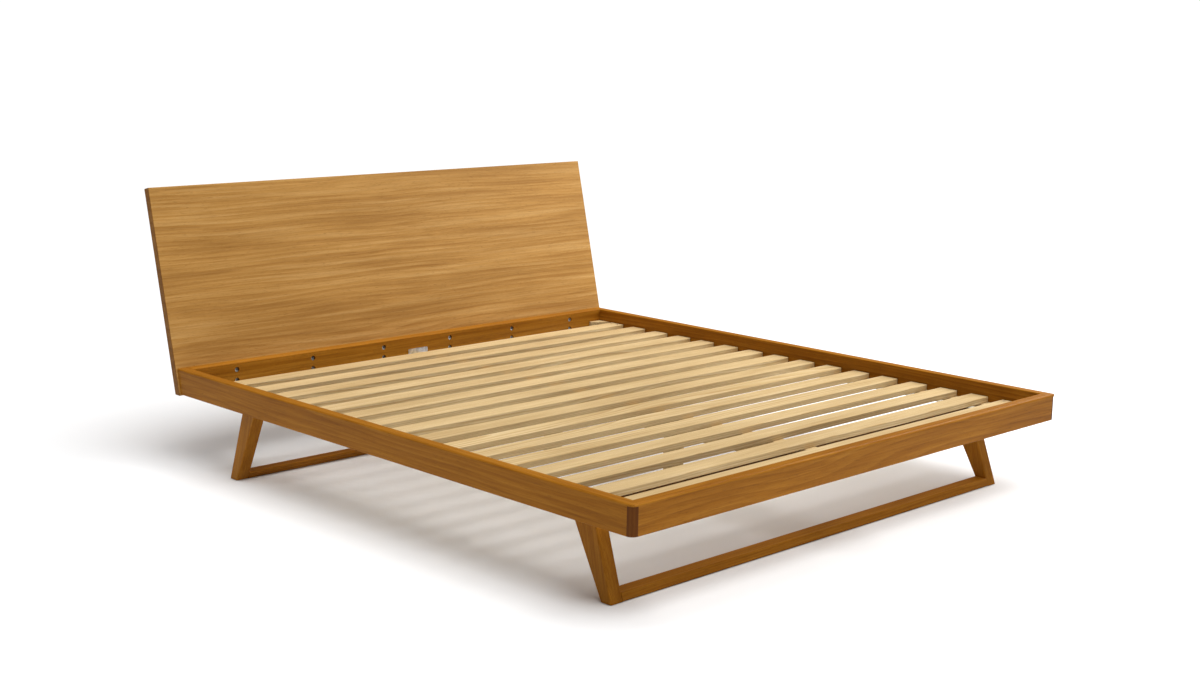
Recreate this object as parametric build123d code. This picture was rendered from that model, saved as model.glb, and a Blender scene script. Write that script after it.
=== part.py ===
"""King-size wooden platform bed frame with a reclined headboard and two trapezoid leg frames.

Millimetres, +Z up. The foot end is at -Y, the headboard at +Y and the left side rail at -X.
The origin is on the floor, at the centre of the overall box.
"""

import os
from math import cos, radians, sin, tan

from build123d import *

# ---------------------------------------------------------------- driving dimensions
FRAME_WIDTH = 2020.0  # over the side rails
RAIL_LENGTH = 2188.0  # foot rail's outer face to the headboard, at the rail's top
RAIL_THICK = 36.0
RAIL_BOTTOM = 242.0
RAIL_TOP = 330.0
TOP_ARRIS = 6.0  # big rounding along the rail's outer top edge
INNER_ARRIS = 3.0
FINE_ARRIS = 2.0

BOARD_WIDTH = 2032.0
BOARD_THICK = 28.0
BOARD_BOTTOM = 238.0
BOARD_TOP = 938.0  # highest edge, which is the front one
RECLINE = radians(13.6)
HEAD_RAIL_DEPTH = 45.0  # at its top, where it meets the headboard

BEAD_RADIUS = 21.0  # dark quarter-round let into each foot corner
BEAD_CAP = 7.0  # rail left standing over the bead
CAP_CORNER = 15.0  # that rail's own corner, a little fuller than the bead below it

LEDGER_WIDTH = 45.0
LEDGER_HEIGHT = 23.0
CORNER_ROOM = 62.0  # length kept free for a corner block at each ledger end

SLAT_COUNT = 16
SLAT_WIDTH = 70.0
SLAT_THICK = 20.0
SLAT_GAP = 56.0
SLAT_LENGTH = 1940.0
TAPE_WIDTH = 30.0
TAPE_THICK = 1.2
TAPE_X = 865.0
TAPE_INSET = 8.0  # from the outermost slats' edges to the tape's ends

BEAM_WIDTH = 50.0
BEAM_BOTTOM = 205.0
BEAM_END_BOTTOM = 246.0

PAD_THICK = 2.0  # felt under the leg frames
FLOOR_BAR_TOP = 26.0
TOP_BAR_BOTTOM = 217.0
TONGUE_BOTTOM = 227.0
TONGUE_END = 970.0
TOP_BAR_END = 925.0
LEG_ARRIS = 4.0

# ---------------------------------------------------------------- worked-out places
HALF_WIDTH = FRAME_WIDTH / 2
INSIDE_X = HALF_WIDTH - RAIL_THICK
LEAN = tan(RECLINE)
OVERALL_LENGTH = RAIL_LENGTH + (BOARD_TOP - RAIL_TOP) * LEAN + BOARD_THICK * cos(RECLINE)
FOOT_Y = -OVERALL_LENGTH / 2
BOARD_Y = FOOT_Y + RAIL_LENGTH
FOOT_INSIDE = FOOT_Y + RAIL_THICK
HEAD_INSIDE = BOARD_Y - HEAD_RAIL_DEPTH
MIDDLE_Y = (FOOT_INSIDE + HEAD_INSIDE) / 2
DECK_BOTTOM = RAIL_BOTTOM + LEDGER_HEIGHT
DECK_TOP = DECK_BOTTOM + SLAT_THICK
LEDGER_X = INSIDE_X - LEDGER_WIDTH

ACROSS = Plane.YZ  # the mirror that turns a left piece into a right one
ENDWISE = Plane(origin=(0, MIDDLE_Y, 0), x_dir=(1, 0, 0), z_dir=(0, 1, 0))
BOARD_FRONT = Plane(
    origin=(0, BOARD_Y, RAIL_TOP),
    x_dir=(1, 0, 0),
    z_dir=(0, cos(RECLINE), -sin(RECLINE)),
)

PARTS = {}


# ---------------------------------------------------------------- small makers
def block(x0, x1, y0, y1, z0, z1):
    """A box between two corners."""
    centre = Pos((x0 + x1) / 2, (y0 + y1) / 2, (z0 + z1) / 2)
    return centre * Box(abs(x1 - x0), abs(y1 - y0), abs(z1 - z0))


def rod(x, y, z0, z1, radius):
    """An upright cylinder."""
    return Pos(x, y, (z0 + z1) / 2) * Cylinder(radius, abs(z1 - z0))


def prism_along_x(points, x0, x1):
    """A solid with a (y, z) outline, from x0 to x1."""
    outline = make_face(Polyline([(x0, y, z) for y, z in points], close=True))
    return extrude(outline, amount=x1 - x0, dir=(1, 0, 0))


def tapered_block(low, high):
    """A straight-sided solid between two level rectangles, each (x0, x1, y0, y1, z)."""
    ends = []
    for x0, x1, y0, y1, z in (low, high):
        place = Pos((x0 + x1) / 2, (y0 + y1) / 2, z)
        ends.append(place * Rectangle(abs(x1 - x0), abs(y1 - y0)))
    return loft(ends, ruled=True)


def rounded(part, axis, radius, chosen=lambda centre: True):
    """Rounds the edges that run along an axis and whose centre is chosen."""
    edges = [edge for edge in part.edges().filter_by(axis) if chosen(edge.center())]
    return fillet(edges, radius)


def both_sides(name, left):
    """Stores a left piece and its mirror image."""
    PARTS[name + "_left"] = left
    PARTS[name + "_right"] = mirror(left, about=ACROSS)


def group(solids):
    """Separate identical solids that share one node."""
    return Compound(children=list(solids))


def spin(outline):
    """A solid of revolution about Z from (radius, z) points."""
    face = make_face(Polyline([(radius, 0, z) for radius, z in outline], close=True))
    return revolve(face, axis=Axis.Z)


# ---------------------------------------------------------------- fasteners
class Screw:
    """A countersunk wood screw, its head's flat top at the origin and its shank along -Z."""

    def __init__(self, length, shank=2.5, head=4.6):
        cone = head - shank
        tip = shank * 2
        outline = [(0, 0), (head, 0), (shank, -cone), (shank, tip - length), (0, -length)]
        self.hole = spin(outline)
        slot_length, slot_width, slot_depth = head * 1.1, 1.2, 3.0
        recess = Box(slot_length, slot_width, slot_depth) + Box(slot_width, slot_length, slot_depth)
        self.solid = self.hole - Pos(0, 0, -0.4) * recess


class Bolt:
    """A round-headed bolt with a hexagon socket, seated at the origin, its shank along -Z."""

    def __init__(self, length, shank, head, head_height):
        self.shank = shank
        top = [(0, head_height), (head, head_height), (head, 0)]
        bottom = [(shank, 0), (shank, -length), (0, -length)]
        self.hole = spin(top + bottom)
        socket = extrude(RegularPolygon(radius=shank * 0.75, side_count=6), amount=head_height)
        self.solid = self.hole - Pos(0, 0, head_height * 0.35) * socket


def seats(places):
    """Turns (origin, outward direction) pairs into locations."""
    return [Plane(origin=origin, z_dir=outward).location for origin, outward in places]


def mirrored(places, x=False, y=False):
    """The same seats on the other side, at the other end, or both."""
    result = []
    for (px, py, pz), (dx, dy, dz) in places:
        if x:
            px, dx = -px, -dx
        if y:
            py, dy = 2 * MIDDLE_Y - py, -dy
        result.append(((px, py, pz), (dx, dy, dz)))
    return result


def four_corners(places):
    """Seats of one corner repeated at all four."""
    ends = places + mirrored(places, y=True)
    return ends + mirrored(ends, x=True)


LEDGER_SCREW = Screw(58)
SHORT_SCREW = Screw(40)
HANGER_SCREW = Screw(28, shank=2.2, head=4.2)
BOARD_BOLT = Bolt(38, shank=4, head=8, head_height=4.5)
FOOT_FRAME_BOLT = Bolt(33, shank=3, head=6.5, head_height=3.5)
HEAD_FRAME_BOLT = Bolt(58, shank=4, head=7.5, head_height=4)

LEDGER_SCREW_COUNT = 7
LEDGER_SCREW_INSET = 190.0
LEDGER_SCREW_PITCH = (HEAD_INSIDE - FOOT_INSIDE - 2 * LEDGER_SCREW_INSET) / (LEDGER_SCREW_COUNT - 1)
LEDGER_SCREW_Z = RAIL_BOTTOM + 12
LEDGER_SCREW_SEATS = [
    ((-LEDGER_X, FOOT_INSIDE + LEDGER_SCREW_INSET + i * LEDGER_SCREW_PITCH, LEDGER_SCREW_Z), (1, 0, 0))
    for i in range(LEDGER_SCREW_COUNT)
]

BLOCK_LEG = 60.0
BLOCK_LOW = 246.0
BLOCK_HIGH = 284.0
SCREW_REACH = 38.0  # a corner screw's distance from the corner, along its block's leg
SCREW_SEAT = 20.0  # wood left in the block under a corner screw's head
SCREW_EDGE = 11.0  # from the block's top and bottom
SCREW_ACCESS = Pos(0, 0, 20) * Cylinder(5, 40)  # the driver's way to a screw's head
CORNER_SCREW_SEATS = []
for level in (BLOCK_LOW + SCREW_EDGE, BLOCK_HIGH - SCREW_EDGE):
    into_side = ((-INSIDE_X + SCREW_SEAT, FOOT_INSIDE + SCREW_REACH, level), (1, 0, 0))
    into_end = ((-INSIDE_X + SCREW_REACH, FOOT_INSIDE + SCREW_SEAT, level), (0, 1, 0))
    CORNER_SCREW_SEATS += [into_side, into_end]

FIRST_SLAT_Y = MIDDLE_Y - (SLAT_COUNT - 1) * (SLAT_WIDTH + SLAT_GAP) / 2
SLAT_SCREW_SEATS = [
    ((-(LEDGER_X + LEDGER_WIDTH / 2), FIRST_SLAT_Y + offset, DECK_TOP), (0, 0, 1))
    for offset in (-18, 18)
]


# ---------------------------------------------------------------- headboard and rails
BOARD_BOLT_X = (160, 480, 800)
BOARD_BOLT_Z = (RAIL_BOTTOM + 26, RAIL_TOP - 24)
BOARD_BOLT_SEAT = 9.0  # how deep the bolts' heads sit in the head rail
COUNTERBORE = 9.0
INSERT_RADIUS = 6.0
INSERT_LENGTH = 18.0
INSERT_ROOM = 20.0


def headboard_bolt_places():
    """Seats on the head rail's front, square to the headboard."""
    outward = (0, -cos(RECLINE), sin(RECLINE))
    seat_y = HEAD_INSIDE + BOARD_BOLT_SEAT * cos(RECLINE)
    drop = BOARD_BOLT_SEAT * sin(RECLINE)
    places = [((x, seat_y, z - drop), outward) for x in BOARD_BOLT_X for z in BOARD_BOLT_Z]
    return places + mirrored(places, x=True)


def make_headboard():
    def front(z):
        return BOARD_Y + (z - RAIL_TOP) * LEAN

    outline = [
        (front(BOARD_BOTTOM), BOARD_BOTTOM),
        (front(BOARD_TOP), BOARD_TOP),
        (front(BOARD_TOP) + BOARD_THICK * cos(RECLINE), BOARD_TOP - BOARD_THICK * sin(RECLINE)),
        (front(BOARD_BOTTOM) + BOARD_THICK / cos(RECLINE), BOARD_BOTTOM),
    ]
    panel = prism_along_x(outline, -BOARD_WIDTH / 2, BOARD_WIDTH / 2)
    panel = fillet(panel.edges(), FINE_ARRIS)
    sockets = [place * Cylinder(INSERT_RADIUS, 2 * INSERT_ROOM) for place in insert_places()]
    for socket in sockets:
        panel -= socket & thick_slice()
    PARTS["headboard_panel"] = panel


def thick_slice():
    """The layer of the headboard, from its front face, that holds the threaded inserts."""
    return BOARD_FRONT.location * Pos(0, 0, INSERT_ROOM / 2) * Box(BOARD_WIDTH, 400, INSERT_ROOM)


def insert_places():
    """Points where the bolts' axes meet the headboard's front face."""
    points = []
    for (x, y, z), (dx, dy, dz) in headboard_bolt_places():
        along = (BOARD_FRONT.origin - Vector(x, y, z)).dot(BOARD_FRONT.z_dir)
        point = Vector(x, y, z) + BOARD_FRONT.z_dir * along
        points.append(Plane(origin=point, z_dir=(dx, dy, dz)).location)
    return points


def make_headboard_fixings():
    places = seats(headboard_bolt_places())
    PARTS["headboard_bolts"] = group(place * BOARD_BOLT.solid for place in places)
    insert = rod(0, 0, -INSERT_LENGTH, 0, INSERT_RADIUS) - rod(0, 0, -INSERT_LENGTH, 0, BOARD_BOLT.shank)
    PARTS["headboard_inserts"] = group(place * insert for place in insert_places())


def rail_bar(length):
    """A rail along +Y from the origin, its outer face at x = 0 and its inner face at +x."""
    bar = block(0, RAIL_THICK, 0, length, RAIL_BOTTOM, RAIL_TOP)
    middle = (RAIL_BOTTOM + RAIL_TOP) / 2
    inner = RAIL_THICK / 2
    bar = rounded(bar, Axis.Y, TOP_ARRIS, lambda c: c.Z > middle and c.X < inner)
    bar = rounded(bar, Axis.Y, INNER_ARRIS, lambda c: c.Z > middle and c.X > RAIL_THICK - 1)
    return rounded(bar, Axis.Y, FINE_ARRIS, lambda c: c.Z < RAIL_BOTTOM + 1)


def corner_cuts():
    """What the left foot corner loses: the bead's rebate and a rounding of the cap above it."""
    rebate_top = RAIL_TOP - BEAD_CAP
    corner_x, corner_y = -HALF_WIDTH, FOOT_Y

    def at_corner(size, z0, z1):
        return block(corner_x - 1, corner_x + size, corner_y - 1, corner_y + size, z0, z1)

    rebate = at_corner(BEAD_RADIUS, RAIL_BOTTOM - 1, rebate_top)
    cap = at_corner(CAP_CORNER, rebate_top, RAIL_TOP + 1)
    cap -= rod(corner_x + CAP_CORNER, corner_y + CAP_CORNER, rebate_top - 1, RAIL_TOP + 2, CAP_CORNER)
    return rebate + cap


def mitre(sign):
    """The vertical plane of a foot corner's mitre, its normal towards the side rail."""
    return Plane(origin=(sign * HALF_WIDTH, FOOT_Y, 0), z_dir=(sign, 1, 0))


def make_rails():
    side = Pos(-HALF_WIDTH, FOOT_Y, 0) * rail_bar(RAIL_LENGTH)
    side = split(side, bisect_by=mitre(-1), keep=Keep.TOP)
    side = split(side, bisect_by=BOARD_FRONT, keep=Keep.BOTTOM)
    side -= corner_cuts()
    screws = [place * LEDGER_SCREW.hole for place in seats(LEDGER_SCREW_SEATS)]
    corner = CORNER_SCREW_SEATS + mirrored(CORNER_SCREW_SEATS, y=True)
    screws += [place * SHORT_SCREW.hole for place in seats(corner)]
    both_sides("side_rail", side - screws)

    foot = Pos(HALF_WIDTH, FOOT_Y, 0) * Rot(0, 0, 90) * rail_bar(FRAME_WIDTH)
    foot = split(foot, bisect_by=mitre(-1), keep=Keep.BOTTOM)
    foot = split(foot, bisect_by=mitre(1), keep=Keep.BOTTOM)
    cuts = corner_cuts()
    foot = foot - cuts - mirror(cuts, about=ACROSS)
    corner = CORNER_SCREW_SEATS + mirrored(CORNER_SCREW_SEATS, x=True)
    screws = [place * SHORT_SCREW.hole for place in seats(corner)]
    screws += [place * HANGER_SCREW.hole for place in seats(hanger_places())]
    PARTS["foot_rail"] = foot - screws

    head = block(-INSIDE_X, INSIDE_X, HEAD_INSIDE, BOARD_Y + 1, RAIL_BOTTOM, RAIL_TOP)
    head = split(head, bisect_by=BOARD_FRONT, keep=Keep.BOTTOM)
    head = rounded(head, Axis.X, INNER_ARRIS, lambda c: c.Y < HEAD_INSIDE + 1 and c.Z > RAIL_TOP - 1)
    head = rounded(head, Axis.X, FINE_ARRIS, lambda c: c.Y < HEAD_INSIDE + 1 and c.Z < RAIL_BOTTOM + 1)
    screws = [place * SHORT_SCREW.hole for place in seats(mirrored(corner, y=True))]
    screws += [place * HANGER_SCREW.hole for place in seats(mirrored(hanger_places(), y=True))]
    for place in seats(headboard_bolt_places()):
        screws.append(place * (Cylinder(BOARD_BOLT.shank, 120) + rod(0, 0, 0, 40, COUNTERBORE)))
    PARTS["head_rail"] = head - screws


def make_corner_beads():
    low, high = RAIL_BOTTOM, RAIL_TOP - BEAD_CAP
    column = rod(-HALF_WIDTH + BEAD_RADIUS, FOOT_Y + BEAD_RADIUS, low, high, BEAD_RADIUS)
    bead = column & block(-HALF_WIDTH, -HALF_WIDTH + BEAD_RADIUS, FOOT_Y, FOOT_Y + BEAD_RADIUS, low, high)
    arcs = bead.edges().filter_by(GeomType.CIRCLE).sort_by(Axis.Z)
    both_sides("corner_bead", fillet(arcs[0], FINE_ARRIS))


def make_corner_blocks():
    tip = 8.0
    corner = Vector(-INSIDE_X, FOOT_INSIDE, BLOCK_LOW)
    outline = [(0, 0), (BLOCK_LEG, 0), (BLOCK_LEG, tip), (tip, BLOCK_LEG), (0, BLOCK_LEG)]
    face = make_face(Polyline([corner + Vector(x, y, 0) for x, y in outline], close=True))
    wedge = extrude(face, amount=BLOCK_HIGH - BLOCK_LOW, dir=(0, 0, 1))
    for place in seats(CORNER_SCREW_SEATS):
        wedge -= place * (SHORT_SCREW.hole + SCREW_ACCESS)
    both_sides("corner_block_foot", wedge)
    both_sides("corner_block_head", mirror(wedge, about=ENDWISE))


# ---------------------------------------------------------------- deck
def make_ledgers():
    start, end = FOOT_INSIDE + CORNER_ROOM, HEAD_INSIDE - CORNER_ROOM
    ledger = block(-INSIDE_X, -LEDGER_X, start, end, RAIL_BOTTOM, DECK_BOTTOM)
    ledger = rounded(ledger, Axis.Y, FINE_ARRIS, lambda c: c.X > -LEDGER_X - 1)
    ledger -= [place * LEDGER_SCREW.hole for place in seats(LEDGER_SCREW_SEATS)]
    slat_screws = SLAT_SCREW_SEATS + mirrored(SLAT_SCREW_SEATS, y=True)
    ledger -= [place * SHORT_SCREW.hole for place in seats(slat_screws)]
    ledger -= [place * FOOT_FRAME_BOLT.hole for place in seats(foot_frame_places())]
    for place in seats(head_frame_places()):
        ledger -= place * (HEAD_FRAME_BOLT.hole + rod(0, 0, 0, 20, BOLT_SINK))
    both_sides("ledger", ledger)


def make_slats():
    plain = Box(SLAT_LENGTH, SLAT_WIDTH, SLAT_THICK)
    plain = rounded(plain, Axis.X, INNER_ARRIS)
    screw_holes = [place * SHORT_SCREW.hole for place in seats(four_corners(SLAT_SCREW_SEATS))]
    for number in range(SLAT_COUNT):
        y = FIRST_SLAT_Y + number * (SLAT_WIDTH + SLAT_GAP)
        slat = Pos(0, y, DECK_BOTTOM + SLAT_THICK / 2) * plain
        if number in (0, SLAT_COUNT - 1):
            slat -= screw_holes
        PARTS[f"slat_{number + 1:02d}"] = slat

    tape_end = (SLAT_COUNT - 1) * (SLAT_WIDTH + SLAT_GAP) / 2 + SLAT_WIDTH / 2 - TAPE_INSET
    tape = block(
        -TAPE_X - TAPE_WIDTH / 2,
        -TAPE_X + TAPE_WIDTH / 2,
        MIDDLE_Y - tape_end,
        MIDDLE_Y + tape_end,
        DECK_BOTTOM - TAPE_THICK,
        DECK_BOTTOM,
    )
    both_sides("slat_tape", tape)


def make_wood_screws():
    ledger = LEDGER_SCREW_SEATS + mirrored(LEDGER_SCREW_SEATS, x=True)
    short = four_corners(CORNER_SCREW_SEATS + SLAT_SCREW_SEATS)
    hanger = hanger_places() + mirrored(hanger_places(), y=True)
    PARTS["ledger_screws"] = group(place * LEDGER_SCREW.solid for place in seats(ledger))
    PARTS["short_screws"] = group(place * SHORT_SCREW.solid for place in seats(short))
    PARTS["hanger_screws"] = group(place * HANGER_SCREW.solid for place in seats(hanger))


# ---------------------------------------------------------------- centre support
PLATE = 2.5
HANGER_HALF = 46.0
HANGER_REACH = 48.0
HANGER_CORNER = 5.0
HANGER_LOW = BEAM_END_BOTTOM - PLATE
HANGER_HIGH = 285.0
HANGER_SCREW_X = 37.0
HANGER_SCREW_Z = (262, 277)
BEAM_SHOULDER = 70.0  # raised end over the hanger
BEAM_FULL = 130.0  # where the beam reaches its full depth
CENTRE_LEG_Y = [MIDDLE_Y - 290, MIDDLE_Y + 290]
CENTRE_LEG_BOTTOM = 26.0
CENTRE_BOLT_RADIUS = 4.0
CENTRE_BOLT_HALF = 34.0
SOCKET_RADIUS = 7.0
SOCKET_FLANGE = 2.0
FLANGE_RADIUS = 12.0
SOCKET_TOP = 50.0
STEM_RADIUS = 5.0
STEM_TOP = 70.0
STEM_CLEARANCE = 0.05
STEM_ROOM = 25.0  # free bore over the stem
HEXAGON_BOTTOM = 9.0
HEXAGON_TOP = 14.0


def hanger_places():
    """Seats of the foot hanger's screws."""
    face = FOOT_INSIDE + PLATE
    xs = (-HANGER_SCREW_X, HANGER_SCREW_X)
    return [((x, face, z), (0, 1, 0)) for x in xs for z in HANGER_SCREW_Z]


def make_beam_hangers():
    half = BEAM_WIDTH / 2
    start = FOOT_INSIDE
    reach = start + HANGER_REACH
    hanger = block(-HANGER_HALF, HANGER_HALF, start, start + PLATE, HANGER_LOW, HANGER_HIGH)
    hanger = rounded(hanger, Axis.Y, HANGER_CORNER)
    hanger += block(-half - PLATE, half + PLATE, start, reach, HANGER_LOW, BEAM_END_BOTTOM)
    for side in (-1, 1):
        hanger += block(side * half, side * (half + PLATE), start, reach, HANGER_LOW, DECK_BOTTOM - 3)
    hanger -= [place * HANGER_SCREW.hole for place in seats(hanger_places())]
    PARTS["beam_hanger_foot"] = hanger
    PARTS["beam_hanger_head"] = mirror(hanger, about=ENDWISE)


def make_centre_beam():
    start, end = FOOT_INSIDE + PLATE + 0.5, HEAD_INSIDE - PLATE - 0.5
    outline = [
        (start, DECK_BOTTOM),
        (start, BEAM_END_BOTTOM),
        (start + BEAM_SHOULDER, BEAM_END_BOTTOM),
        (start + BEAM_FULL, BEAM_BOTTOM),
        (end - BEAM_FULL, BEAM_BOTTOM),
        (end - BEAM_SHOULDER, BEAM_END_BOTTOM),
        (end, BEAM_END_BOTTOM),
        (end, DECK_BOTTOM),
    ]
    half = BEAM_WIDTH / 2
    beam = prism_along_x(outline, -half, half)
    for frame in (FOOT_FRAME, HEAD_FRAME):
        low, high = sorted(frame.top_bar_span())
        beam -= block(-half - 1, half + 1, low, high, BEAM_BOTTOM - 1, RAIL_BOTTOM)
    bolt_top = BEAM_BOTTOM + CENTRE_BOLT_HALF + 1
    beam -= [rod(0, y, BEAM_BOTTOM - 1, bolt_top, CENTRE_BOLT_RADIUS) for y in CENTRE_LEG_Y]
    PARTS["centre_beam"] = beam


def make_centre_legs():
    half = BEAM_WIDTH / 2
    bolts, sockets = [], []
    for name, y in zip(("foot", "head"), CENTRE_LEG_Y):
        leg = block(-half, half, y - half, y + half, CENTRE_LEG_BOTTOM, BEAM_BOTTOM)
        leg = rounded(leg, Axis.Z, LEG_ARRIS)
        leg -= rod(0, y, CENTRE_LEG_BOTTOM - 1, SOCKET_TOP, SOCKET_RADIUS)
        leg -= rod(0, y, SOCKET_TOP - 1, STEM_TOP + STEM_ROOM, STEM_RADIUS + 0.6)
        low, high = BEAM_BOTTOM - CENTRE_BOLT_HALF, BEAM_BOTTOM + CENTRE_BOLT_HALF
        leg -= rod(0, y, low - 1, BEAM_BOTTOM + 1, CENTRE_BOLT_RADIUS)
        PARTS[f"centre_leg_{name}"] = leg
        bolts.append(rod(0, y, low, high, CENTRE_BOLT_RADIUS))
        socket = rod(0, y, CENTRE_LEG_BOTTOM, SOCKET_TOP, SOCKET_RADIUS)
        socket += rod(0, y, CENTRE_LEG_BOTTOM - SOCKET_FLANGE, CENTRE_LEG_BOTTOM, FLANGE_RADIUS)
        sockets.append(socket - rod(0, y, 0, SOCKET_TOP + 1, STEM_RADIUS + STEM_CLEARANCE))
        make_leveller(name, y)
    PARTS["centre_leg_bolts"] = group(bolts)
    PARTS["leveller_sockets"] = group(sockets)


def make_leveller(name, y):
    """A screw foot: a round pad on the floor and a stem with a hexagon for the spanner."""
    pad = spin([(0, 0), (18, 0), (20, 2), (20, 4), (13, 8), (7, 8), (7, 4), (0, 4)])
    stem = rod(0, 0, 4, HEXAGON_BOTTOM, 7)
    hexagon = extrude(RegularPolygon(radius=9.5, side_count=6), amount=HEXAGON_TOP - HEXAGON_BOTTOM)
    stem += Pos(0, 0, HEXAGON_BOTTOM) * hexagon
    stem += rod(0, 0, HEXAGON_TOP, STEM_TOP, STEM_RADIUS)
    stem = chamfer(stem.edges().group_by(Axis.Z)[-1], 1)
    PARTS[f"leveller_pad_{name}"] = Pos(0, y, 0) * pad
    PARTS[f"leveller_stem_{name}"] = Pos(0, y, 0) * stem


# ---------------------------------------------------------------- leg frames
class LegFrame:
    """Where one leg frame's faces are, at the floor and at the rail's bottom.

    Distances run from an end of the bed towards its middle: near is the face towards that end.
    Insets run from the side rail's outer face to the leg's outer face.
    """

    def __init__(self, end_y, inward, near, far, inset, leg_width):
        self.end_y = end_y
        self.inward = inward
        self.near = near
        self.far = far
        self.inset = inset
        self.leg_width = leg_width

    def at(self, pair, z):
        return pair[0] + (pair[1] - pair[0]) * z / RAIL_BOTTOM

    def near_y(self, z):
        return self.end_y + self.inward * self.at(self.near, z)

    def far_y(self, z):
        return self.end_y + self.inward * self.at(self.far, z)

    def outer_x(self, z):
        return HALF_WIDTH - self.at(self.inset, z)

    def inner_x(self, z):
        return self.outer_x(z) - self.leg_width

    def leg(self, z0, z1):
        """The left leg's plain shape between two heights."""
        levels = []
        for z in (z0, z1):
            levels.append((-self.outer_x(z), -self.inner_x(z), self.near_y(z), self.far_y(z), z))
        leg = tapered_block(*levels)
        sloping = [edge for edge in leg.edges() if abs(edge.length) > (z1 - z0) * 0.9]
        sloping = [edge for edge in sloping if abs(edge.tangent_at(0.5).Z) > 0.5]
        return fillet(sloping, LEG_ARRIS)

    def top_bar_span(self):
        return self.near_y(TOP_BAR_BOTTOM), self.far_y(TOP_BAR_BOTTOM)

    def floor_bar(self):
        low, high = PAD_THICK, FLOOR_BAR_TOP
        outline = [
            (self.near_y(low), low),
            (self.far_y(low), low),
            (self.far_y(high), high),
            (self.near_y(high), high),
        ]
        reach = self.inner_x(low)
        bar = prism_along_x(outline, -reach, reach)
        return rounded(bar, Axis.X, FINE_ARRIS)

    def bar_tenon(self, low, high, depth, width, length):
        """A tenon into the left leg, at a bar between two heights."""
        middle_y = (self.near_y(low) + self.far_y(high)) / 2
        shoulder = -self.inner_x((low + high) / 2)
        middle_z = (low + high) / 2
        return block(
            shoulder - length,
            shoulder + 6,
            middle_y - width / 2,
            middle_y + width / 2,
            middle_z - depth / 2,
            middle_z + depth / 2,
        )


FOOT_FRAME = LegFrame(FOOT_Y, 1, near=(156, 239), far=(196, 331), inset=(86, 93), leg_width=46)
HEAD_FRAME = LegFrame(BOARD_Y, -1, near=(295, 377), far=(335, 447), inset=(15, 15), leg_width=45)


TONGUE_BOLT_INSET = 24.0
HEAD_BOLT_INSET = 12.0  # from the side rail's inner face
HEAD_BOLT_DISTANCES = (396, 417)  # from the headboard
BOLT_SINK = 8.5  # radius of the pocket round a head frame bolt's head
TENON_HALF = 11.0
TENON_SHOULDER = 18.0


def foot_frame_places():
    """Seats of the bolts up through the foot frame's left tongue."""
    x = -(LEDGER_X + LEDGER_WIDTH / 2)
    near, far = FOOT_FRAME.top_bar_span()
    ys = (near + TONGUE_BOLT_INSET, far - TONGUE_BOLT_INSET)
    return [((x, y, TONGUE_BOTTOM), (0, 0, -1)) for y in ys]


def head_frame_places():
    """Seats of the bolts down through the ledger into the left head leg."""
    x, seat = -INSIDE_X + HEAD_BOLT_INSET, DECK_BOTTOM - 4
    return [((x, BOARD_Y - distance, seat), (0, 0, 1)) for distance in HEAD_BOLT_DISTANCES]


def frame_tenons(frame):
    """A floor bar's and, between legs, a top bar's tenon at the left leg."""
    floor_tenon = frame.bar_tenon(PAD_THICK, FLOOR_BAR_TOP, depth=12, width=20, length=24)
    top_tenon = frame.bar_tenon(TOP_BAR_BOTTOM, RAIL_BOTTOM, depth=13, width=34, length=22)
    return floor_tenon, top_tenon


def make_foot_frame():
    frame = FOOT_FRAME
    floor_tenon, _ = frame_tenons(frame)
    leg = frame.leg(PAD_THICK, TOP_BAR_BOTTOM)
    near, far = sorted(frame.top_bar_span())
    centre_x = -(frame.outer_x(TOP_BAR_BOTTOM) + frame.inner_x(TOP_BAR_BOTTOM)) / 2
    leg_tenon = block(
        centre_x - TENON_HALF,
        centre_x + TENON_HALF,
        near + TENON_SHOULDER,
        far - TENON_SHOULDER,
        TOP_BAR_BOTTOM - 1,
        TOP_BAR_BOTTOM + TENON_SHOULDER,
    )
    bar = frame.floor_bar() - leg - mirror(leg, about=ACROSS)
    leg = leg - floor_tenon + leg_tenon
    both_sides("foot_leg", leg)
    PARTS["foot_floor_bar"] = bar + floor_tenon + mirror(floor_tenon, about=ACROSS)

    top = block(-TOP_BAR_END, TOP_BAR_END, near, far, TOP_BAR_BOTTOM, RAIL_BOTTOM)
    top += block(-TONGUE_END, TONGUE_END, near, far, TONGUE_BOTTOM, RAIL_BOTTOM)
    top = rounded(top, Axis.X, FINE_ARRIS, lambda c: c.Z < TOP_BAR_BOTTOM + 1)
    top = top - leg_tenon - mirror(leg_tenon, about=ACROSS)
    bolts = foot_frame_places() + mirrored(foot_frame_places(), x=True)
    top -= [place * FOOT_FRAME_BOLT.hole for place in seats(bolts)]
    PARTS["foot_top_bar"] = top
    PARTS["foot_frame_bolts"] = group(place * FOOT_FRAME_BOLT.solid for place in seats(bolts))


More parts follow.
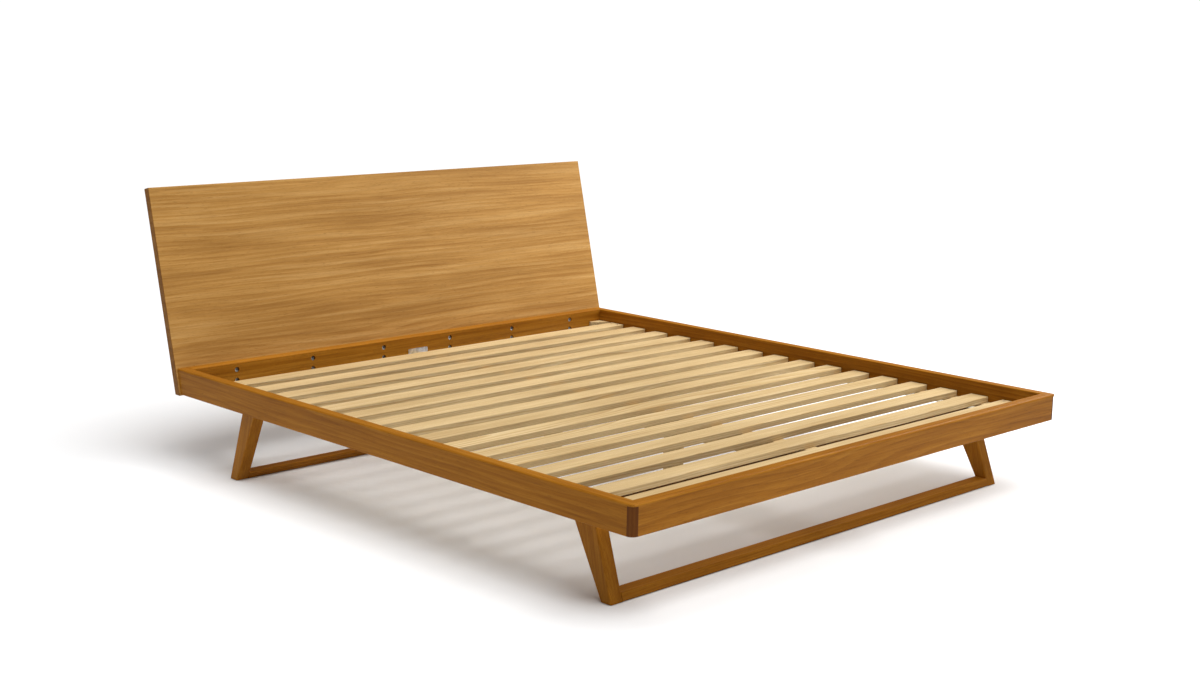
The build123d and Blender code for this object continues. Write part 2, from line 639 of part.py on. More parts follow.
def make_head_frame():
    frame = HEAD_FRAME
    floor_tenon, top_tenon = frame_tenons(frame)
    leg = frame.leg(PAD_THICK, RAIL_BOTTOM)
    near, far = sorted(frame.top_bar_span())
    reach = frame.inner_x(TOP_BAR_BOTTOM)
    top = block(-reach, reach, near, far, TOP_BAR_BOTTOM, RAIL_BOTTOM)
    top = rounded(top, Axis.X, FINE_ARRIS, lambda c: c.Z < TOP_BAR_BOTTOM + 1)
    bolts = head_frame_places() + mirrored(head_frame_places(), x=True)
    holes = [place * HEAD_FRAME_BOLT.hole for place in seats(bolts)]
    PARTS["head_top_bar"] = top + top_tenon + mirror(top_tenon, about=ACROSS) - holes
    bar = frame.floor_bar() - leg - mirror(leg, about=ACROSS)
    PARTS["head_floor_bar"] = bar + floor_tenon + mirror(floor_tenon, about=ACROSS)

    leg = leg - floor_tenon - top_tenon - holes[:2]
    both_sides("head_leg", leg)
    PARTS["head_frame_bolts"] = group(place * HEAD_FRAME_BOLT.solid for place in seats(bolts))


LEG_PAD = (34, 30)
BAR_PAD = (80, 26)
BAR_PAD_X = 300.0
PAD_CORNER = 5.0


def make_felt_pads():
    leg_pads, bar_pads = [], []
    for frame in (FOOT_FRAME, HEAD_FRAME):
        y = (frame.near_y(0) + frame.far_y(0)) / 2
        leg_x = (frame.outer_x(0) + frame.inner_x(0)) / 2
        for side in (-1, 1):
            leg_pads.append(felt_pad(side * leg_x, y, *LEG_PAD))
            bar_pads.append(felt_pad(side * BAR_PAD_X, y, *BAR_PAD))
    PARTS["leg_felt_pads"] = group(leg_pads)
    PARTS["bar_felt_pads"] = group(bar_pads)


def felt_pad(x, y, length, width):
    sheet = Pos(x, y, 0) * RectangleRounded(length, width, PAD_CORNER)
    return extrude(sheet, amount=PAD_THICK)


def main():
    make_headboard()
    make_headboard_fixings()
    make_rails()
    make_corner_beads()
    make_corner_blocks()
    make_ledgers()
    make_slats()
    make_wood_screws()
    make_beam_hangers()
    make_centre_beam()
    make_centre_legs()
    make_foot_frame()
    make_head_frame()
    make_felt_pads()
    os.makedirs("parts", exist_ok=True)
    for name, part in PARTS.items():
        export_step(part, f"parts/{name}.step")
    print(len(PARTS), "nodes")


main()
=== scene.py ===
from math import cos, pi, radians, sin

import bmesh
import bpy
from mathutils import Matrix, Vector


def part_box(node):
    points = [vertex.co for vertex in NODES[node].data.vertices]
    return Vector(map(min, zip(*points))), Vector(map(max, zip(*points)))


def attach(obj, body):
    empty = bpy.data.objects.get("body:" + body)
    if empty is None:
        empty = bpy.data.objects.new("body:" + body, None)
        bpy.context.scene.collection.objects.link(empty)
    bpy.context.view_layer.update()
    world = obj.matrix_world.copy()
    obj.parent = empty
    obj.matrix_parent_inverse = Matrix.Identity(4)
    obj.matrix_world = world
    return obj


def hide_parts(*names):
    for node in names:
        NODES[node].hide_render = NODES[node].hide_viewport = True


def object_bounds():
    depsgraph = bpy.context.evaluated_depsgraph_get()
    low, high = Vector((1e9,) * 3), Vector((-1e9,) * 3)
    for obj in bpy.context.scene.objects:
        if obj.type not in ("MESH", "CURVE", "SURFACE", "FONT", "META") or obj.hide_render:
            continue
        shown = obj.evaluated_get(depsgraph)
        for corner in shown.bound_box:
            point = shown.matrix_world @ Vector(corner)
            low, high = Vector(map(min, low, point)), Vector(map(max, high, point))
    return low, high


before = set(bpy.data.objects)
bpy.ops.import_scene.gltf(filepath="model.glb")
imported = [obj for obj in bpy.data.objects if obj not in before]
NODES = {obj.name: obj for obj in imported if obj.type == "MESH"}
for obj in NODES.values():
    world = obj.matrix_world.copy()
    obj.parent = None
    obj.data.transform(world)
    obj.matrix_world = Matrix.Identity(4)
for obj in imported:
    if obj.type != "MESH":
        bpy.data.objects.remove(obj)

# The looks of a king-size wooden bed frame: honey-coloured oiled oak outside, bare pine slats,
# cotton webbing under them, zinc-plated and blackened fixings, felt and nylon at the floor.
# Metres, +Z up, foot end at -Y, headboard at +Y.

CAD_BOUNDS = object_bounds()
MM = 0.001
SLATS = sorted(name for name in NODES if name.startswith(("slat_0", "slat_1")))
SLAT_PITCH = (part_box(SLATS[1])[0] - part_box(SLATS[0])[0]).y


# ---------------------------------------------------------------- nodes and colours
def linear(sheet):
    """An sRGB hex colour as linear red, green, blue and alpha."""
    channels = [int(sheet[i : i + 2], 16) / 255 for i in (1, 3, 5)]
    return [c / 12.92 if c <= 0.04045 else ((c + 0.055) / 1.055) ** 2.4 for c in channels] + [1.0]


def add(tree, kind, inputs=None, stops=(), **settings):
    """Adds one shader node with its settings, inputs and colour stops.

    A node given as an input lends its first output in use.
    """
    node = tree.nodes.new("ShaderNode" + kind)
    for name, value in settings.items():
        setattr(node, name, value)
    for socket, value in (inputs or {}).items():
        if isinstance(value, bpy.types.Node):
            value = next(output for output in value.outputs if output.enabled)
        if isinstance(value, bpy.types.NodeSocket):
            tree.links.new(value, node.inputs[socket])
        elif isinstance(value, str):
            node.inputs[socket].default_value = linear(value)
        else:
            node.inputs[socket].default_value = value
    for index, (position, colour) in enumerate(stops):
        elements = node.color_ramp.elements
        element = elements[index] if index < len(elements) else elements.new(position)
        element.position = position
        element.color = linear(colour)
    return node


def new_material(name):
    material = bpy.data.materials.new(name)
    material.use_nodes = True
    material.node_tree.nodes.clear()
    return material, material.node_tree


# ---------------------------------------------------------------- wood
# a wave texture of scale 1 repeats every pi / 10 metres
WAVE = pi / 10
# how long and wide a mark of each kind is, in millimetres
BEND = (1100, 170)
DRIFT = (700, 90)
FIBRE = (110, 2.6)
PIT = (24, 1.3)

ACROSS_BED = (0.0, 0.0, 0.0)
ALONG_BED = (0.0, 0.0, -pi / 2)
UPRIGHT = (0.0, pi / 2, 0.0)


def wood(
    name,
    turn,
    tones,
    ring=4.0,
    pith=(0.0, 0.21, -0.13),
    wander=25.0,
    streak=(300, 7, 0.6),
    gloss=0.07,
    rough=0.42,
    pore=0.45,
    board=0.0,
    end=0.0,
):
    """Sawn, planed and sanded timber; turn brings its grain to the pattern's X axis.

    tones are the light, middle and dark wood and the pores. ring is the growth rings' mean width
    and wander how far the trunk bends, in millimetres, and pith is the tree's centre line. streak
    is a streak's length and width in millimetres, and its weight against the rings. board is the
    pitch of boards cut from different places. end is how far from the middle the end grain lies,
    which is drawn darker.
    """
    light, middle, dark, pores = tones
    streak_length, streak_width, streak_weight = streak
    material, tree = new_material(name)
    point = add(tree, "TexCoord").outputs["Object"]
    point = add(tree, "Mapping", {"Vector": point, "Rotation": turn})
    along = add(tree, "SeparateXYZ", {"Vector": point}).outputs["X"]
    if board:
        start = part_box(SLATS[0])[0].y - 0.25 * board
        cell = add(tree, "Mapping", {"Vector": point, "Location": (10.0, -start, 10.0)})
        cell = add(tree, "VectorMath", {0: cell, 1: (1000.0, board, 1000.0)}, operation="SNAP")
        lot = add(tree, "TexWhiteNoise", {"Vector": cell}).outputs["Color"]
        lot = add(tree, "VectorMath", {0: lot, 1: (5.0, 0.3, 0.3)}, operation="MULTIPLY")
        point = add(tree, "VectorMath", {0: point, 1: lot}, operation="ADD")

    def drawn_out(where, mark, detail, roughness=0.55):
        """Noise stretched along the grain; mark is a mark's length and width in millimetres."""
        length, width = mark
        scale = (1 / (length * MM), 1 / (width * MM), 1 / (width * MM))
        where = add(tree, "Mapping", {"Vector": where, "Scale": scale})
        inputs = {"Vector": where, "Scale": 1.0, "Detail": detail, "Roughness": roughness}
        return add(tree, "TexNoise", inputs)

    # the trunk's slow bends carry the rings with them
    bend = drawn_out(point, BEND, 1.5).outputs["Color"]
    bend = add(tree, "VectorMath", {0: bend, 1: (0.5, 0.5, 0.5)}, operation="SUBTRACT")
    reach = (0.0, wander * MM, wander * MM)
    bend = add(tree, "VectorMath", {0: bend, 1: reach}, operation="MULTIPLY")
    grown = add(tree, "VectorMath", {0: point, 1: bend}, operation="ADD")
    centre = add(tree, "Mapping", {"Vector": grown, "Location": pith})
    inputs = {"Vector": centre, "Scale": WAVE / (ring * MM)}
    rings = add(tree, "TexWave", inputs, wave_type="RINGS", rings_direction="X", wave_profile="SAW")
    stops = ((0.0, light), (0.55, middle), (0.92, dark), (1.0, middle))
    ring_tone = add(tree, "ValToRGB", {"Fac": rings}, stops)

    # long soft streaks, finer fibres, and a slow drift of tone from one part of a board to another
    streaks = drawn_out(grown, (streak_length, streak_width), 3.0, 0.5)
    stops = ((0.3, dark), (0.5, middle), (0.7, light))
    streak_tone = add(tree, "ValToRGB", {"Fac": streaks}, stops)
    tone = add(tree, "Mix", {0: streak_weight, 6: ring_tone, 7: streak_tone}, data_type="RGBA")
    drift = drawn_out(point, DRIFT, 2.0)
    drift = add(tree, "ValToRGB", {"Fac": drift}, ((0.35, "#E4DED4"), (0.65, "#FFFFFF")))
    tone = add(tree, "Mix", {0: 0.7, 6: tone, 7: drift}, data_type="RGBA", blend_type="MULTIPLY")
    fibres = drawn_out(grown, FIBRE, 3.0, 0.6)
    thread = add(tree, "ValToRGB", {"Fac": fibres}, ((0.3, "#E6E2DA"), (0.6, "#FFFFFF")))
    tone = add(tree, "Mix", {0: 0.75, 6: tone, 7: thread}, data_type="RGBA", blend_type="MULTIPLY")

    # open pores, drawn longer and wider than the 0.3 mm of real ones so that they show
    pits = drawn_out(grown, PIT, 1.0)
    inputs = {"Value": pits, "From Min": 0.62, "From Max": 0.72, "To Max": pore}
    pits = add(tree, "MapRange", inputs)
    tone = add(tree, "Mix", {0: pits, 6: tone, 7: pores}, data_type="RGBA")

    if end:
        reach = add(tree, "Math", {0: along}, operation="ABSOLUTE")
        inputs = {"Value": reach, "From Min": end - 1.5 * MM, "From Max": end - 0.5 * MM}
        inputs = {0: add(tree, "MapRange", inputs), 6: tone, 7: END_GRAIN}
        tone = add(tree, "Mix", inputs, data_type="RGBA", blend_type="MULTIPLY")

    sheen = add(tree, "MapRange", {"Value": fibres, "To Min": rough - 0.07, "To Max": rough + 0.09})
    relief = add(tree, "Math", {0: fibres, 1: pits}, operation="SUBTRACT")
    relief = add(tree, "Bump", {"Height": relief, "Distance": 0.15 * MM})
    inputs = {"Base Color": tone, "Roughness": sheen, "Normal": relief, "Specular IOR Level": gloss}
    shader = add(tree, "BsdfPrincipled", inputs)
    add(tree, "OutputMaterial", {"Surface": shader})
    return material


# light, middle and dark wood, then the pores
# the panel's tones are lighter and paler than the rails': painted light on the upward-tilted panel
PANEL_PAINTED_LIGHT_TONES = ("#CBA062", "#BB8C4B", "#A4753A", "#765024")
HONEY_TONES = ("#B27826", "#A36819", "#8D5611", "#57330D")
# the corner strips' dark brown is painted shade
CORNER_PAINTED_SHADE_TONES = ("#6F4218", "#633712", "#522C0D", "#341C08")
PINE_TONES = ("#DCC59C", "#D0B584", "#B99665", "#94744A")
# how much darker the end grain is drawn
END_GRAIN = "#C0AC88"

# satin oiled oak, quarter-sawn: fine straight streaks and a warm honey colour, painted lighter and
# paler than the rails' to stand in for the light the upward-tilted panel catches from the bright
# room
OAK_PANEL_PAINTED_LIGHT = wood(
    "oiled_oak_quarter_sawn_panel_painted_light",
    ACROSS_BED,
    PANEL_PAINTED_LIGHT_TONES,
    ring=9.0,
    wander=45.0,
    streak=(650, 15, 0.75),
    end=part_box("headboard_panel")[1].x,
)
# the same oil on solid rails: deeper amber than the panel, whose lighter, paler tones are painted
# light
OAK_ACROSS = wood("oiled_oak_grain_across_bed", ACROSS_BED, HONEY_TONES)
OAK_ALONG = wood("oiled_oak_grain_along_bed", ALONG_BED, HONEY_TONES, pith=(0.0, 0.16, -0.09))
# grain that rises with the raked legs
OAK_FOOT_LEG = wood("oiled_oak_grain_up_foot_legs", (radians(12), pi / 2, 0.0), HONEY_TONES)
OAK_HEAD_LEG = wood("oiled_oak_grain_up_head_legs", (radians(-16), pi / 2, 0.0), HONEY_TONES)
# a strip let into each foot corner, coloured dark brown as painted shade
OAK_CORNER_PAINTED_SHADE = wood("oak_corner_strip_painted_shade", UPRIGHT, CORNER_PAINTED_SHADE_TONES, ring=3.0)
# bare planed pine: pale, broad rings, no oil, nearly matt
PINE_SLATS = wood(
    "planed_pine_slats",
    ACROSS_BED,
    PINE_TONES,
    wander=40.0,
    streak=(300, 7, 0.35),
    rough=0.62,
    pore=0.1,
    board=SLAT_PITCH,
)
PINE_ALONG = wood("planed_pine_ledgers", ALONG_BED, PINE_TONES, rough=0.62, pore=0.1)
PINE_UPRIGHT = wood("planed_pine_centre_legs", UPRIGHT, PINE_TONES, rough=0.62, pore=0.1)


# ---------------------------------------------------------------- other finishes
def metal(name, colour, roughness):
    """Turned or pressed metal: tool marks 0.6 mm apart, and patches about 12 mm across."""
    material, tree = new_material(name)
    point = add(tree, "TexCoord").outputs["Object"]
    patches = add(tree, "TexNoise", {"Vector": point, "Scale": 1 / (12 * MM), "Detail": 3.0})
    tint = add(tree, "ValToRGB", {"Fac": patches}, ((0.3, colour), (0.9, "#FFFFFF")))
    marks = add(tree, "TexNoise", {"Vector": point, "Scale": 1 / (0.6 * MM), "Detail": 2.0})
    relief = add(tree, "Bump", {"Height": marks, "Distance": 0.02 * MM})
    inputs = {"Value": patches, "To Min": roughness - 0.1, "To Max": roughness + 0.12}
    sheen = add(tree, "MapRange", inputs)
    inputs = {"Base Color": tint, "Metallic": 1.0, "Roughness": sheen, "Normal": relief}
    add(tree, "OutputMaterial", {"Surface": add(tree, "BsdfPrincipled", inputs)})
    return material


def flecked(name, light, dark, size, depth, roughness):
    """Pressed felt or moulded grain: an even field of specks, size and depth in millimetres."""
    material, tree = new_material(name)
    point = add(tree, "TexCoord").outputs["Object"]
    specks = add(tree, "TexNoise", {"Vector": point, "Scale": 1 / (size * MM), "Detail": 4.0})
    tone = add(tree, "ValToRGB", {"Fac": specks}, ((0.35, dark), (0.65, light)))
    relief = add(tree, "Bump", {"Height": specks, "Distance": depth * MM})
    inputs = {"Base Color": tone, "Roughness": roughness, "Normal": relief}
    add(tree, "OutputMaterial", {"Surface": add(tree, "BsdfPrincipled", inputs)})
    return material


# bright zinc plate: cool grey steel with a soft, slightly patchy shine
ZINC = metal("zinc_plated_steel", "#B9BCC1", 0.34)
# black oxide: oiled near-black steel
BLACK_STEEL = metal("black_oxide_steel", "#1D1D1F", 0.42)
# lathe-turned brass: warm yellow and the shiniest of the metals
BRASS = metal("turned_brass", "#C29A52", 0.3)
# pressed wool felt: matt, flecked grey-brown
FELT = flecked("pressed_wool_felt", "#7A7268", "#4A443D", 0.8, 0.3, 0.95)
# moulded nylon: black, faintly grained
NYLON = flecked("moulded_nylon", "#26272A", "#17181A", 0.5, 0.05, 0.5)


def woven(name, light, dark, pitch):
    """Plain woven tape: threads over and under each other, so many millimetres apart, and matt; the
    dark colour where a thread dips under is painted shade.
    """
    material, tree = new_material(name)
    point = add(tree, "TexCoord").outputs["Object"]
    scale = WAVE / (pitch * MM)
    warp = add(tree, "TexWave", {"Vector": point, "Scale": scale}, bands_direction="X")
    weft = add(tree, "TexWave", {"Vector": point, "Scale": scale}, bands_direction="Y")
    over = add(tree, "Math", {0: warp, 1: weft}, operation="MULTIPLY")
    # the darker colour in the weave's hollows is painted shade
    tone = add(tree, "ValToRGB", {"Fac": over}, ((0.0, dark), (0.6, light)))
    relief = add(tree, "Bump", {"Height": over, "Distance": 0.4 * MM})
    inputs = {"Base Color": tone, "Roughness": 0.9, "Normal": relief}
    add(tree, "OutputMaterial", {"Surface": add(tree, "BsdfPrincipled", inputs)})
    return material


# plain woven cotton: cream threads, drawn 2 mm apart so that the weave shows, with painted shade
# between them
WEBBING = woven("woven_cotton_webbing", "#DDD6C4", "#A79E88", 2.0)


# ---------------------------------------------------------------- finishes on the CAD pieces
FINISHES = {
    OAK_PANEL_PAINTED_LIGHT: "headboard_panel",
    OAK_ACROSS: "head_rail foot_rail foot_floor_bar foot_top_bar head_floor_bar head_top_bar",
    OAK_ALONG: "side_rail_left side_rail_right",
    OAK_FOOT_LEG: "foot_leg_left foot_leg_right",
    OAK_HEAD_LEG: "head_leg_left head_leg_right",
    OAK_CORNER_PAINTED_SHADE: "corner_bead_left corner_bead_right",
    PINE_ALONG: "ledger_left ledger_right centre_beam",
    PINE_UPRIGHT: "centre_leg_foot centre_leg_head",
    PINE_SLATS: " ".join(SLATS)
    + " corner_block_foot_left corner_block_foot_right"
    + " corner_block_head_left corner_block_head_right",
    BLACK_STEEL: "headboard_bolts foot_frame_bolts head_frame_bolts",
    BRASS: "headboard_inserts",
    ZINC: "ledger_screws short_screws hanger_screws centre_leg_bolts leveller_sockets"
    " beam_hanger_foot beam_hanger_head leveller_stem_foot leveller_stem_head",
    FELT: "leg_felt_pads bar_felt_pads",
    WEBBING: "slat_tape_left slat_tape_right",
    NYLON: "leveller_pad_foot leveller_pad_head",
}
for finish, names in FINISHES.items():
    for name in names.split():
        NODES[name].data.materials.clear()
        NODES[name].data.materials.append(finish)


# ---------------------------------------------------------------- modelling helpers
SMOOTH_ANGLE = radians(32)


def activate(*pieces):
    """Selects only these pieces and makes the first one active."""
    bpy.ops.object.select_all(action="DESELECT")
    for piece in pieces:
        piece.select_set(True)
    bpy.context.view_layer.objects.active = pieces[0]


def begin(primitive, name, place, **settings):
    """Adds one primitive with its place in its mesh, and opens it in edit mode."""
    bpy.ops.object.select_all(action="DESELECT")
    primitive(location=place, **settings)
    piece = bpy.context.object
    piece.name = name
    bpy.ops.object.transform_apply(location=True, rotation=True, scale=True)
    bpy.ops.object.mode_set(mode="EDIT")
    bpy.ops.mesh.select_all(action="SELECT")
    return piece


def select(piece, kind, chosen):
    """Selects only the vertices, edges or faces that the test accepts."""
    bpy.ops.mesh.select_mode(type=kind)
    bpy.ops.mesh.select_all(action="DESELECT")
    shape = bmesh.from_edit_mesh(piece.data)
    for element in {"VERT": shape.verts, "EDGE": shape.edges, "FACE": shape.faces}[kind]:
        if chosen(element):
            element.select_set(True)
    bmesh.update_edit_mesh(piece.data)


def direction(edge):
    return (edge.verts[1].co - edge.verts[0].co).normalized()


def apply_modifier(piece, kind, **settings):
    """Adds a modifier and applies it to its piece, in object mode."""
    modifier = piece.modifiers.new(kind.lower(), kind)
    for name, value in settings.items():
        setattr(modifier, name, value)
    bpy.context.view_layer.objects.active = piece
    bpy.ops.object.modifier_apply(modifier=modifier.name)


def soften(piece, width, segments):
    """Rounds a piece's sharp edges, width in millimetres."""
    settings = {"limit_method": "ANGLE", "angle_limit": radians(60)}
    apply_modifier(piece, "BEVEL", width=width * MM, segments=segments, **settings)


def complete(piece, finish, body="frame", stands_for=()):
    """Smooths a piece, gives it its finish and fixes it to its body."""
    if bpy.context.mode != "OBJECT":
        bpy.ops.object.mode_set(mode="OBJECT")
    activate(piece)
    bpy.ops.object.shade_smooth_by_angle(angle=SMOOTH_ANGLE)
    piece.data.materials.clear()
    piece.data.materials.append(finish)
    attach(piece, body)
    if stands_for:
        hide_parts(*stands_for)


# ---------------------------------------------------------------- slat tapes
TAPE_SAG = 3 * MM
TAPE_ROWS = 280
TAPE_COLUMNS = 4
STAPLE = Vector((11.0, 1.4, 0.7)) * MM
STAPLE_WIRE = 1.2 * MM
STAPLE_LEG = 3.0 * MM
STAPLE_SPACING = 36 * MM


def make_slat_tape(side):
    """Webbing pulled flat under each slat, with a little slack in every gap."""
    node = f"slat_tape_{side}"
    low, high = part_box(node)
    middle = (low + high) / 2
    middle.z = high.z
    tape = begin(bpy.ops.mesh.primitive_plane_add, f"woven_tape_{side}", middle, size=1.0)
    width, length = high.x - low.x, high.y - low.y
    bpy.ops.transform.resize(value=(width, length, 1.0), center_override=middle)
    select(tape, "EDGE", lambda edge: abs(direction(edge).y) > 0.5)
    bpy.ops.mesh.subdivide(number_cuts=TAPE_ROWS - 1)
    select(tape, "EDGE", lambda edge: abs(direction(edge).x) > 0.5)
    bpy.ops.mesh.subdivide(number_cuts=TAPE_COLUMNS - 1)
    row = length / TAPE_ROWS
    for before, after in zip(SLATS, SLATS[1:]):
        start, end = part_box(before)[1].y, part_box(after)[0].y
        gap = (start + end) / 2
        select(tape, "VERT", lambda vertex: abs(vertex.co.y - gap) < 0.6 * row)
        bpy.ops.transform.translate(
            value=(0.0, 0.0, -TAPE_SAG),
            use_proportional_edit=True,
            proportional_edit_falloff="SMOOTH",
            proportional_size=(end - start) / 2,
        )
    bpy.ops.object.mode_set(mode="OBJECT")
    apply_modifier(tape, "SOLIDIFY", thickness=high.z - low.z, offset=-1.0)
    soften(tape, 0.35, 2)
    complete(tape, WEBBING, stands_for=[node])


def make_staples(side):
    """Two wire staples through the tape into the underside of every slat."""
    low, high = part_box(f"slat_tape_{side}")
    first_low, first_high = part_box(SLATS[0])
    place = (low + high) / 2
    place.y = (first_low.y + first_high.y - STAPLE_SPACING) / 2
    place.z = low.z - STAPLE.z / 2
    staples = begin(bpy.ops.mesh.primitive_cube_add, f"tape_staples_{side}", place, size=1.0)
    bpy.ops.transform.resize(value=STAPLE, center_override=place)
    leg = STAPLE.x / 2 - STAPLE_WIRE
    for offset in (-leg, leg):
        bpy.ops.mesh.select_all(action="SELECT")
        cut = place + Vector((offset, 0.0, 0.0))
        bpy.ops.mesh.bisect(plane_co=cut, plane_no=(1.0, 0.0, 0.0))
    select(
        staples,
        "FACE",
        lambda face: face.normal.z > 0.9 and abs(face.calc_center_median().x - place.x) > leg,
    )
    bpy.ops.mesh.extrude_region_move(TRANSFORM_OT_translate={"value": (0.0, 0.0, STAPLE_LEG)})
    bpy.ops.object.mode_set(mode="OBJECT")
    soften(staples, 0.18, 1)
    for count, step in ((2, STAPLE_SPACING), (len(SLATS), SLAT_PITCH)):
        apply_modifier(
            staples,
            "ARRAY",
            count=count,
            use_relative_offset=False,
            use_constant_offset=True,
            constant_offset_displace=(0.0, step, 0.0),
        )
    complete(staples, ZINC)


# ---------------------------------------------------------------- felt pads
FELT_BORDER = 1.2 * MM  # from a pad's edge to the ring of faces inside it
FELT_LOWER_ROUND = 0.35 * MM
FELT_UPPER_ROUND = 0.25 * MM
FELT_LEVEL_ERROR = 0.1 * MM  # how near to a level a face or corner counts as on it
WELD = 0.01 * MM


def make_felt_pads(node):
    """Die-cut felt: the CAD pads' own outline, with soft, slightly crushed edges."""
    pads = bpy.data.objects.new(f"pressed_{node}", NODES[node].data.copy())
    bpy.context.scene.collection.objects.link(pads)
    activate(pads)
    bpy.ops.object.mode_set(mode="EDIT")
    bpy.ops.mesh.select_all(action="SELECT")
    bpy.ops.mesh.remove_doubles(threshold=WELD)
    bpy.ops.mesh.dissolve_limited(angle_limit=radians(1))
    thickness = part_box(node)[1].z
    for level, size in ((0.0, FELT_LOWER_ROUND), (thickness, FELT_UPPER_ROUND)):

        def on_level(place):
            return abs(place.z - level) < FELT_LEVEL_ERROR

        select(pads, "FACE", lambda face: on_level(face.calc_center_median()))
        bpy.ops.mesh.inset(thickness=FELT_BORDER, use_individual=True)
        select(
            pads,
            "EDGE",
            lambda edge: all(on_level(vertex.co) for vertex in edge.verts)
            and any(abs(face.normal.z) < 0.5 for face in edge.link_faces),
        )
        bpy.ops.mesh.bevel(offset=size, segments=2, affect="EDGES")
    complete(pads, FELT, stands_for=[node])


# ---------------------------------------------------------------- leveller stems
THREAD_PITCH = 1.5 * MM
THREAD_DEPTH = 0.85 * MM
THREAD_CREST = 4.97 * MM  # just under the M10 screw's 5 mm radius
THREAD_STEPS = 24
COLLAR_HEIGHT = 5 * MM
COLLAR_RADIUS = 7 * MM
HEXAGON_HEIGHT = 5 * MM
HEXAGON_RADIUS = 9.5 * MM
SCREW_OVERLAP = 0.5 * MM  # how far the screw runs down into the hexagon


def make_screw(name, axis, low, high):
    """An M10 screw with its real thread, closed at both ends."""
    base = high + THREAD_PITCH / 2
    profile = Vector((axis.x + THREAD_CREST - THREAD_DEPTH, axis.y, base))
    screw = begin(bpy.ops.mesh.primitive_plane_add, name, profile, size=1.0)
    # one edge of the plane becomes the flank line of one turn: root, crest, root
    bpy.ops.transform.resize(value=(THREAD_PITCH, THREAD_PITCH, 1.0), center_override=profile)
    select(screw, "FACE", lambda face: True)
    bpy.ops.mesh.delete(type="ONLY_FACE")
    select(screw, "VERT", lambda vertex: vertex.co.x > profile.x)
    bpy.ops.mesh.delete(type="VERT")
    select(screw, "VERT", lambda vertex: vertex.co.y > profile.y)
    upper = Vector((profile.x, profile.y, base + THREAD_PITCH))
    shape = bmesh.from_edit_mesh(screw.data)
    for vertex in shape.verts:
        vertex.co = upper if vertex.select else profile
    bmesh.update_edit_mesh(screw.data)
    bpy.ops.mesh.select_all(action="SELECT")
    bpy.ops.mesh.subdivide(number_cuts=1)
    crest = base + THREAD_PITCH / 2
    select(screw, "VERT", lambda vertex: abs(vertex.co.z - crest) < 0.1 * THREAD_PITCH)
    bpy.ops.transform.translate(value=(THREAD_DEPTH, 0.0, 0.0))
    bpy.ops.mesh.select_all(action="SELECT")
    turns = int((base - low) / THREAD_PITCH) + 3
    bpy.ops.mesh.screw(steps=THREAD_STEPS, turns=turns, center=axis, axis=(0.0, 0.0, -1.0))
    bpy.ops.mesh.select_all(action="SELECT")
    bpy.ops.mesh.remove_doubles(threshold=WELD)
    for level, upward in ((low - SCREW_OVERLAP, -1.0), (high, 1.0)):
        bpy.ops.mesh.select_all(action="SELECT")
        bpy.ops.mesh.bisect(
            plane_co=(axis.x, axis.y, level),
            plane_no=(0.0, 0.0, upward),
            use_fill=True,
            clear_outer=True,
        )
    bpy.ops.mesh.select_all(action="SELECT")
    bpy.ops.mesh.normals_make_consistent(inside=False)
    bpy.ops.object.mode_set(mode="OBJECT")
    return screw


def make_leveller_stem(end):
    """A turned collar, a chamfered hexagon for the spanner and a threaded screw."""
    node = f"leveller_stem_{end}"
    low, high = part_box(node)
    axis = (low + high) / 2
    hexagon_low = low.z + COLLAR_HEIGHT
    hexagon_high = hexagon_low + HEXAGON_HEIGHT
    screw = make_screw(f"threaded_stem_{end}", axis, hexagon_high, high.z)
    hexagon = begin(
        bpy.ops.mesh.primitive_cylinder_add,
        f"stem_hexagon_{end}",
        Vector((axis.x, axis.y, (hexagon_low + hexagon_high) / 2)),
        vertices=6,
        radius=HEXAGON_RADIUS,
        depth=HEXAGON_HEIGHT,
        rotation=(0.0, 0.0, pi / 6),
    )
    bpy.ops.mesh.bevel(offset=0.7 * MM, segments=2, affect="EDGES")
    bpy.ops.object.mode_set(mode="OBJECT")
    collar = begin(
        bpy.ops.mesh.primitive_cylinder_add,
        f"stem_collar_{end}",
        Vector((axis.x, axis.y, (low.z + hexagon_low) / 2)),
        vertices=48,
        radius=COLLAR_RADIUS,
        depth=COLLAR_HEIGHT,
    )
    select(collar, "EDGE", lambda edge: abs(direction(edge).z) < 0.5)
    bpy.ops.mesh.bevel(offset=0.4 * MM, segments=2, affect="EDGES")
    bpy.ops.object.mode_set(mode="OBJECT")
    activate(screw, hexagon, collar)
    bpy.ops.object.join()
    complete(screw, ZINC, body=f"leveller_{end}", stands_for=[node])


for hand in ("left", "right"):
    make_slat_tape(hand)
    make_staples(hand)
for pad_node in ("leg_felt_pads", "bar_felt_pads"):
    make_felt_pads(pad_node)
for bed_end in ("foot", "head"):
    make_leveller_stem(bed_end)


# ---------------------------------------------------------------- studio
FLOOR_SIZE = 400.0
KEY_STRENGTH = 3.75
KEY_SPREAD = radians(60)
KEY_FROM = (0.0, -0.25, 0.97)
SOFT_BOX_SIZE = (2.0, 1.5)
SOFT_BOX_WATTS = 42.0
SOFT_BOX_PLACE = (2.6, -0.6, 1.9)
SOFT_BOX_AIM = (0.6, 1.1, 0.7)
ROOM_LIGHT = 0.09  # how strongly the room lights the bed
ROOM_SEEN = 1.05  # how bright the room is behind it

LENS = 51.05
SENSOR = 36.0
CAMERA_SIDE = -3.9867
CAMERA_BEFORE_FOOT = 2.885
CAMERA_HEIGHT = 1.5406
HEADING, DIP, TILT = 0.779, 0.186, 0.019  # radians


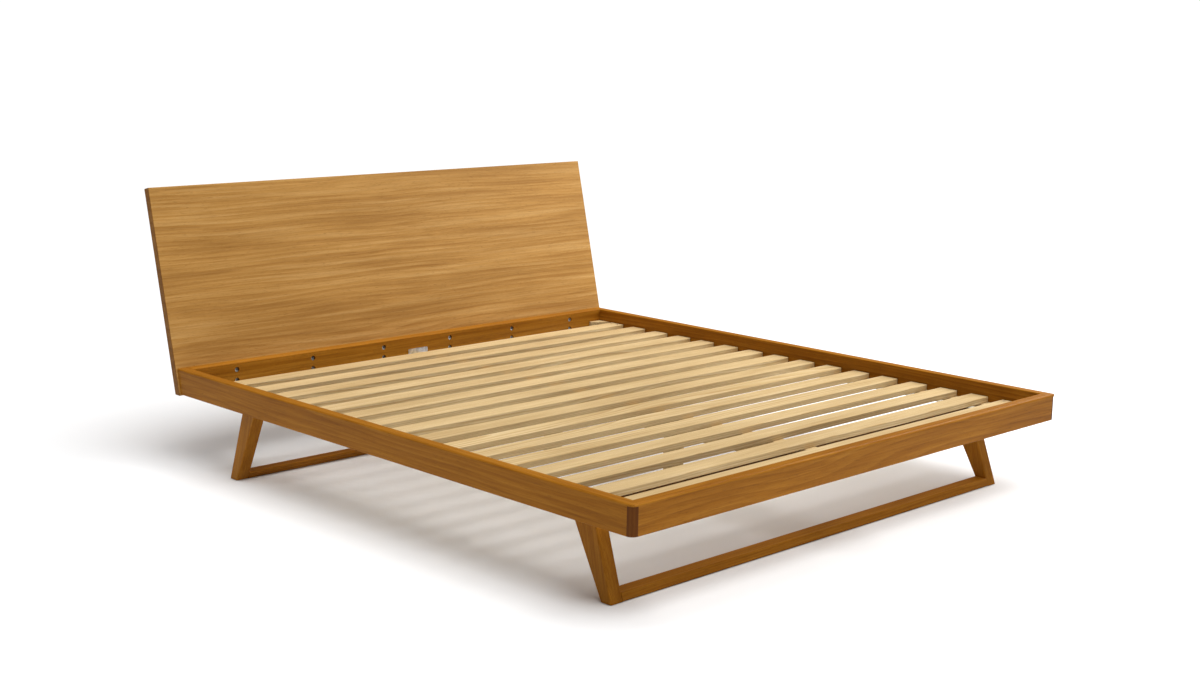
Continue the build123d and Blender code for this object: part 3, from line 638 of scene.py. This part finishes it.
def make_floor():
    """A plain, pale, matt floor, wide enough to pass out of view."""
    bpy.ops.object.select_all(action="DESELECT")
    bpy.ops.mesh.primitive_plane_add(size=FLOOR_SIZE)
    floor = bpy.context.object
    floor.name = "studio_floor"
    material, tree = new_material("matt_white_studio_floor")
    point = add(tree, "TexCoord").outputs["Object"]
    scuffs = add(tree, "TexNoise", {"Vector": point, "Scale": 2.0, "Detail": 2.0})
    tone = add(tree, "ValToRGB", {"Fac": scuffs}, ((0.0, "#EDEDED"), (1.0, "#F0F0F0")))
    inputs = {"Base Color": tone, "Roughness": 1.0, "Specular IOR Level": 0.0}
    add(tree, "OutputMaterial", {"Surface": add(tree, "BsdfPrincipled", inputs)})
    floor.data.materials.append(material)


def add_lamp(name, kind, energy, shines, **settings):
    """Adds one lamp that shines in a direction."""
    data = bpy.data.lights.new(name, kind)
    data.energy = energy
    for setting, value in settings.items():
        setattr(data, setting, value)
    lamp = bpy.data.objects.new(name, data)
    bpy.context.scene.collection.objects.link(lamp)
    lamp.rotation_euler = shines.to_track_quat("-Z", "Y").to_euler()
    return lamp


def make_lights():
    """A broad soft key overhead and a weak one at the bed's right hand, in a dim white room."""
    add_lamp("broad_soft_key", "SUN", KEY_STRENGTH, -Vector(KEY_FROM), angle=KEY_SPREAD)
    shape = {"shape": "RECTANGLE", "size": SOFT_BOX_SIZE[0], "size_y": SOFT_BOX_SIZE[1]}
    aim = Vector(SOFT_BOX_AIM) - Vector(SOFT_BOX_PLACE)
    soft_box = add_lamp("right_hand_soft_box", "AREA", SOFT_BOX_WATTS, aim, **shape)
    soft_box.location = SOFT_BOX_PLACE
    world = bpy.data.worlds.new("even_white_room")
    world.use_nodes = True
    tree = world.node_tree
    tree.nodes.clear()
    seen = add(tree, "LightPath").outputs["Is Camera Ray"]
    inputs = {"Value": seen, "To Min": ROOM_LIGHT, "To Max": ROOM_SEEN}
    strength = add(tree, "MapRange", inputs)
    tint = add(tree, "Mix", {0: seen, 6: "#EEF3FF", 7: "#FFFFFF"}, data_type="RGBA")
    room = add(tree, "Background", {"Color": tint, "Strength": strength})
    add(tree, "OutputWorld", {"Surface": room})
    bpy.context.scene.world = world


def make_camera():
    """At standing height off the bed's left foot corner, tipped slightly down."""
    ahead = Vector((sin(HEADING) * cos(DIP), cos(HEADING) * cos(DIP), -sin(DIP)))
    level = Vector((cos(HEADING), -sin(HEADING), 0.0))
    upward = level.cross(ahead)
    right = cos(TILT) * level + sin(TILT) * upward
    up = cos(TILT) * upward - sin(TILT) * level
    place = (CAMERA_SIDE, CAD_BOUNDS[0].y - CAMERA_BEFORE_FOOT, CAMERA_HEIGHT)
    data = bpy.data.cameras.new("camera")
    data.sensor_width = SENSOR
    data.lens = LENS
    data.clip_end = 500.0
    camera = bpy.data.objects.new("camera", data)
    bpy.context.scene.collection.objects.link(camera)
    turn = Matrix((right, up, -ahead)).transposed().to_4x4()
    camera.matrix_world = Matrix.Translation(place) @ turn
    bpy.context.scene.camera = camera


make_floor()
make_lights()
make_camera()
bpy.context.scene.view_settings.view_transform = "Standard"
bpy.context.scene.cycles.use_denoising = True
